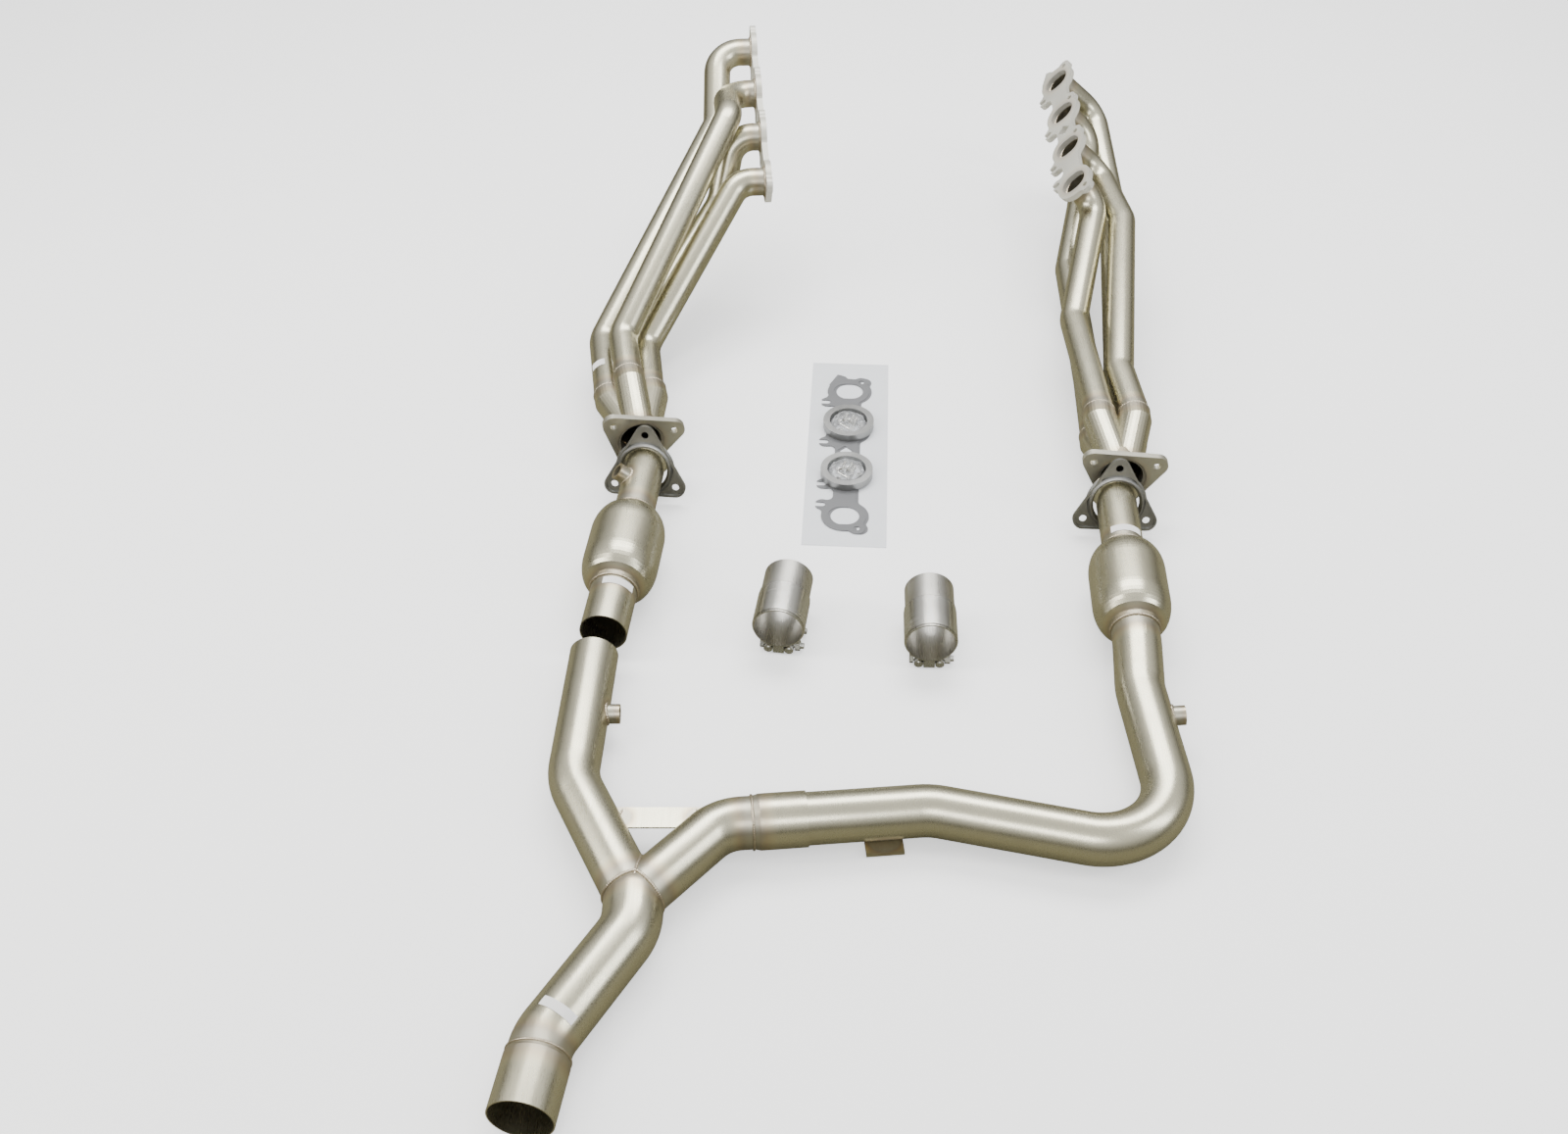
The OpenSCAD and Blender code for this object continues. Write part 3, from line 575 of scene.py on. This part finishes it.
def heat_near(finish, spots):
    """From 0 far from all welds to 1 at the nearest bead."""
    total = None
    for centre, radius in spots:
        away = finish.node("ShaderNodeVectorMath", {"operation": "DISTANCE"},
                           {0: finish.place, 1: tuple(centre)}, "Value")
        close = (1 - (away - radius) / HEAT_REACH).clamped()
        total = close if total is None else total.most(close)
    return total


def tube_steel(name, spots=(), turn=0.0, warm=(0.60, 0.565, 0.42), cool=(0.51, 0.49, 0.38), rough=0.25):
    finish = Finish(name, metallic=1.0)
    brushed = finish.noise(1.0, (1100, 9, 1100), 2.0, turn)
    cloudy = finish.noise(9.0, detail=4.0)
    smudged = finish.noise(38.0, detail=3.0)
    colour = finish.mixed(cloudy * 1.6 - 0.3, rgba(*cool), rgba(*warm))
    grime = ((smudged - 0.54) * 3.0).clamped() * 0.22
    colour = finish.mixed(grime, colour, rgba(0.40, 0.35, 0.25))
    gloss = rough + (brushed - 0.5) * 0.16 + smudged * 0.08
    if spots:
        heat = heat_near(finish, spots)
        uneven = (heat + (smudged - 0.5) * 0.35).clamped()
        film = finish.node("ShaderNodeValToRGB", {"stops": film_stops}, {0: uneven}, "Color")
        colour = finish.mixed((heat * 1.5).clamped() * 0.5, colour, film)
        gloss = gloss + heat * 0.10
    finish.set("base color", colour)
    finish.set("roughness", gloss)
    finish.bump(brushed + cloudy * 0.4, 0.00006, 0.5)
    return finish.material


def coat(node, material):
    """Gives a CAD node its material, in every slot that it has."""
    for slot in nodes[node].material_slots:
        slot.material = material
    coated.append(node)


coated = []
for node in sorted(nodes):
    if node.startswith(("primary_", "collector_", "y_", "inlet_", "outlet_", "cat_shell", "bung", "hanger", "crossover")):
        across = pi / 2 if node in ("crossover", "y_right_leg") else 0.0
        coat(node, tube_steel("tube_" + node, heat.get(node, ()), across))
bead_steel = Finish("weld_bead", metallic=1.0)
speckle = bead_steel.noise(420.0, detail=2.0)
bead_steel.set("base color", bead_steel.mixed(speckle, rgba(0.66, 0.62, 0.52), rgba(0.40, 0.31, 0.20)))
bead_steel.set("roughness", 0.26 + speckle * 0.2)
for piece in beads:
    piece.data.materials.append(bead_steel.material)
print(len(coated), "tubes coated,", sum(len(v) for v in heat.values()), "heated places")

# %% [markdown]
# The flat plates are cut by laser and sanded flat on a belt, so their scratches run one way and
# their faces are a little duller than the tubes. The loose flanges are pressed from coated sheet:
# their grey is neutral, with a faint orange-peel. Clamp bands are bright rolled strip.

# %% Plates, pressings, bands and turned steel
def sheet_steel(name, light, dark, rough, grain, spots=(), peel=0.00008, metallic=1.0):
    finish = Finish(name, metallic=metallic)
    brushed = finish.noise(1.0, grain, 2.0)
    cloudy = finish.noise(17.0, detail=4.0)
    colour = finish.mixed(cloudy * 1.7 - 0.35, rgba(*dark), rgba(*light))
    if spots:
        heat = heat_near(finish, spots)
        film = finish.node("ShaderNodeValToRGB", {"stops": film_stops}, {0: heat}, "Color")
        colour = finish.mixed((heat * 1.4).clamped() * 0.35, colour, film)
    finish.set("base color", colour)
    finish.set("roughness", rough + (brushed - 0.5) * 0.2 + (cloudy - 0.5) * 0.15)
    finish.bump(brushed + cloudy, peel, 0.5)
    return finish.material


for side in "lr":
    coat("head_flange_" + side, sheet_steel("sanded_" + side, (0.66, 0.65, 0.58), (0.54, 0.53, 0.47), 0.48,
                                            (500, 14, 500), heat.get("head_flange_" + side, ()), metallic=0.45))
    coat("plate_" + side, sheet_steel("cut_plate_" + side, (0.60, 0.58, 0.49), (0.47, 0.455, 0.38), 0.36,
                                      (14, 700, 700), heat.get("plate_" + side, ()), metallic=0.9))
    coat("swivel_" + side, sheet_steel("pressed_" + side, (0.40, 0.40, 0.385), (0.27, 0.27, 0.26), 0.42,
                                       (260, 260, 260)))
for clamp in "12":
    coat("sleeve_" + clamp, sheet_steel("sleeve_steel_" + clamp, (0.58, 0.565, 0.52), (0.44, 0.43, 0.40), 0.30,
                                        (900, 12, 900)))
    coat("band_" + clamp, sheet_steel("band_steel_" + clamp, (0.68, 0.67, 0.63), (0.55, 0.54, 0.50), 0.24,
                                      (12, 900, 12)))
    for part in ("block_", "bars_", "bolts_"):
        coat(part + clamp, sheet_steel("turned_" + part + clamp, (0.68, 0.68, 0.66), (0.50, 0.50, 0.48), 0.27,
                                       (500, 60, 500)))
    for place in "ab":
        coat("nut_" + clamp + place, sheet_steel("nut_steel_" + clamp + place, (0.70, 0.70, 0.68),
                                                 (0.52, 0.52, 0.50), 0.25, (500, 60, 500)))
for key in "ab":
    coat("ring_gasket_" + key, sheet_steel("ring_steel_" + key, (0.40, 0.40, 0.39), (0.26, 0.26, 0.255), 0.38,
                                           (300, 300, 300)))
    coat("fasteners_" + key, sheet_steel("fastener_steel_" + key, (0.82, 0.81, 0.78), (0.62, 0.61, 0.58), 0.20,
                                         (500, 500, 500)))
thread_steel = sheet_steel("thread_steel", (0.66, 0.66, 0.64), (0.42, 0.42, 0.40), 0.30, (400, 400, 400))
for piece in threads:
    piece.data.materials.append(thread_steel)
print(len(coated), "nodes coated")

# %% [markdown]
# The card is coated board with a faint fibre, the head gaskets are a grey faced composite, and the
# labels are plain paper. The mats inside the converters are ceramic wool and the honeycomb is a
# pale brown ceramic. The bags are clear film: mostly see-through, with a shine on each crease.

# %% Board, gaskets, paper, mats and film
def dull(name, light, dark, rough, scale, bumps, turn=0.0, stretch=(1, 1, 1)):
    finish = Finish(name, metallic=0.0)
    fibre = finish.noise(scale, stretch, 4.0, turn)
    broad = finish.noise(scale / 30, detail=3.0)
    finish.set("base color", finish.mixed(fibre * 0.7 + broad * 0.6 - 0.15, rgba(*dark), rgba(*light)))
    finish.set("roughness", rough + (fibre - 0.5) * 0.2)
    finish.bump(fibre, bumps, 0.6)
    return finish.material


coat("card", dull("board", (0.80, 0.82, 0.85), (0.72, 0.74, 0.77), 0.55, 900.0, 0.00008))
for key in "ab":
    coat("head_gasket_" + key, dull("gasket_grey_" + key, (0.17, 0.172, 0.178), (0.115, 0.118, 0.124), 0.6, 700.0,
                                    0.00006))
for side in "lr":
    coat("cat_mat_" + side, dull("wool_" + side, (0.75, 0.72, 0.64), (0.5, 0.47, 0.4), 0.9, 500.0, 0.0002))
    coat("cat_core_" + side, dull("ceramic_" + side, (0.42, 0.36, 0.28), (0.28, 0.24, 0.19), 0.8, 400.0, 0.0001))
paper = dull("label_paper", (0.88, 0.875, 0.86), (0.80, 0.79, 0.77), 0.55, 1200.0, 0.00004)
for piece in labels:
    piece.data.materials.append(paper)

film = Finish("bag_film", metallic=0.0, ior=1.5)
creased = film.noise(160.0, detail=5.0)
film.set("base color", film.mixed(creased, rgba(0.80, 0.83, 0.86), rgba(0.95, 0.96, 0.97)))
film.set("roughness", 0.08 + creased * 0.14)
film.set("alpha", 0.16 + ((creased - 0.5) * 2.2).clamped() * 0.45)
film.bump(creased, 0.0009, 0.7)
for piece in bags:
    piece.data.materials.append(film.material)
missing = sorted(set(nodes) - set(coated) - {"bag_a", "bag_b"})
print("left uncoated:", missing)

# %% [markdown]
# The floor is pale to the eye and glows with a light of its own, an emission that is painted light.
# In a mirror it shows itself dark olive and without glow: a painted reflection that lays dark bands on the tubes.

# %% Floor, lamps and sky
FLOOR_SIZE = 30
clean_selection()
bpy.ops.mesh.primitive_plane_add(size=FLOOR_SIZE, location=(0, 0, -0.0004))
floor = settle(added("floor"))
# Painted light: the floor emits a pale glow of its own to every ray except glossy ones.
paint = Finish("floor_glow_dark_reflection", metallic=0.0, emission_strength=0.75)
stain = paint.noise(3.0, detail=3.0)
seen = paint.mixed(stain, rgba(0.885, 0.885, 0.88), rgba(0.915, 0.915, 0.912))
# Painted reflection: glossy rays see the floor dark olive and not glowing, which gives dark bands on the metal.
mirrored = paint.node("ShaderNodeLightPath", out="Is Glossy Ray")
paint.set("base color", paint.mixed(mirrored, seen, rgba(0.15, 0.14, 0.085)))
paint.set("emission color", paint.mixed(mirrored, rgba(0.97, 0.98, 1.0), rgba(0.0, 0.0, 0.0)))
paint.set("roughness", 0.65 + stain * 0.1)
floor.data.materials.append(paint.material)


def lamp(name, at, aim, size, power, tint=(1, 1, 1)):
    data = bpy.data.lights.new(name, "AREA")
    data.shape = "RECTANGLE"
    data.size, data.size_y = size
    data.energy = power
    data.color = tint
    made = bpy.data.objects.new(name, data)
    bpy.context.scene.collection.objects.link(made)
    at, aim = Vector(at), Vector(aim)
    made.location = at
    made.rotation_euler = (aim - at).to_track_quat("-Z", "Y").to_euler()


lamp("overhead", (0.1, 1.3, 2.6), (0, 0.1, 0), (2.6, 1.2), 92)
lamp("left", (-2.3, -0.4, 1.9), (-0.1, 0, 0), (0.8, 2.4), 46, (1, 0.98, 0.94))
lamp("right", (2.4, -0.9, 2.0), (0.1, 0, 0), (0.7, 1.8), 32, (0.96, 0.98, 1))
lamp("front", (-0.3, -2.6, 2.4), (0, -0.2, 0), (1.6, 0.8), 30)

world = bpy.data.worlds.new("studio")
bpy.context.scene.world = world
world.use_nodes = True
sky = world.node_tree
coords = sky.nodes.new("ShaderNodeTexCoord")
split = sky.nodes.new("ShaderNodeSeparateXYZ")
ramp = sky.nodes.new("ShaderNodeValToRGB")
ramp.color_ramp.elements[0].position = 0.05
ramp.color_ramp.elements[0].color = (0.07, 0.065, 0.04, 1)
ramp.color_ramp.elements[1].position = 0.7
ramp.color_ramp.elements[1].color = (0.95, 0.95, 0.94, 1)
sky.links.new(coords.outputs["Generated"], split.inputs[0])
sky.links.new(split.outputs["Z"], ramp.inputs[0])
sky.links.new(ramp.outputs[0], sky.nodes["Background"].inputs[0])
sky.nodes["Background"].inputs[1].default_value = 1.1
print("stage lit")

# %% Camera
PITCH_DOWN = 43
CAMERA_AT = (-0.143, -1.816, 1.605)
LENS = 38.25
eye = bpy.data.cameras.new("camera")
eye.lens = LENS
eye.sensor_width = 36
camera = bpy.data.objects.new("camera", eye)
bpy.context.scene.collection.objects.link(camera)
camera.location = CAMERA_AT
camera.rotation_euler = (radians(90 - PITCH_DOWN), 0, 0)
bpy.context.scene.camera = camera
